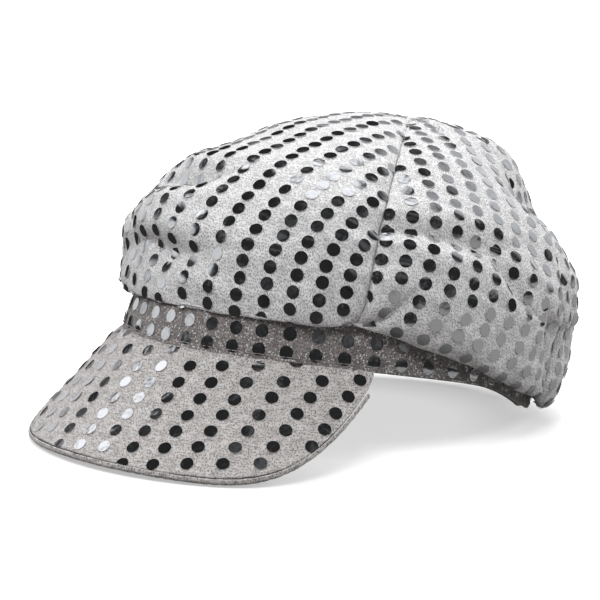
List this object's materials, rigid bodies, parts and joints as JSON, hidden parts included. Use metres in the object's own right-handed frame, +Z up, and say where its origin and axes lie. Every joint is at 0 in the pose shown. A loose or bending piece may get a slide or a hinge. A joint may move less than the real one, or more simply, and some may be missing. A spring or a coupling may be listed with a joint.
{
  "type": "new year party hat",
  "caption": "Soft silver newsboy cap for a party: full panelled crown on a narrow band, a short curved visor, and foil sequins in rows on sparkling knit.",
  "frame": {"origin": "middle of the hat's box on the floor it rests on", "axes": "+Z up, -Y the way the visor points, +X the wearer's left; the hat stands as it rests on a table, leaning back about 13 degrees on its visor edge and the back of its band"},
  "size_m": [0.214, 0.275, 0.1431],
  "materials": {
    "sequin_knit": "warp knit with metallic yarn, sparkling, fused to a soft backing",
    "sequin_foil": "flat mirror-finish plastic discs, glued on in rows",
    "sewing_thread": "fine grey polyester thread",
    "lining_satin": "plain woven polyester lining, slight sheen",
    "sweatband_tape": "ribbed cotton tape, matt",
    "buckram": "stiffened open weave",
    "elastic_tape": "ribbed woven elastic",
    "visor_plastic": "moulded sheet, matt",
    "label_satin": "woven satin, blank"
  },
  "bodies": {
    "hat": {"crown_front_panel": "sequin_knit", "crown_left_panel": "sequin_knit", "crown_right_panel": "sequin_knit", "crown_back_panel": "sequin_knit", "lining_front_panel": "lining_satin", "lining_left_panel": "lining_satin", "lining_right_panel": "lining_satin", "lining_back_panel": "lining_satin", "band_cover": "sequin_knit", "band_stiffener": "buckram", "back_elastic": "elastic_tape", "sweatband": "sweatband_tape", "care_label": "label_satin"},
    "visor": {"visor_top_cover": "sequin_knit", "visor_board": "visor_plastic", "visor_under_cover": "sequin_knit", "visor_edge_seam": "sequin_knit"}
  },
  "joints": [
    {"name": "visor_tilt", "type": "hinge", "parent": "hat", "child": "visor", "pos_m": [0, -0.0393, 0.0419], "axis": [-1, 0, 0], "range_deg": [-10, 8], "stiffness_Nm_per_rad": 1.5}
  ]
}
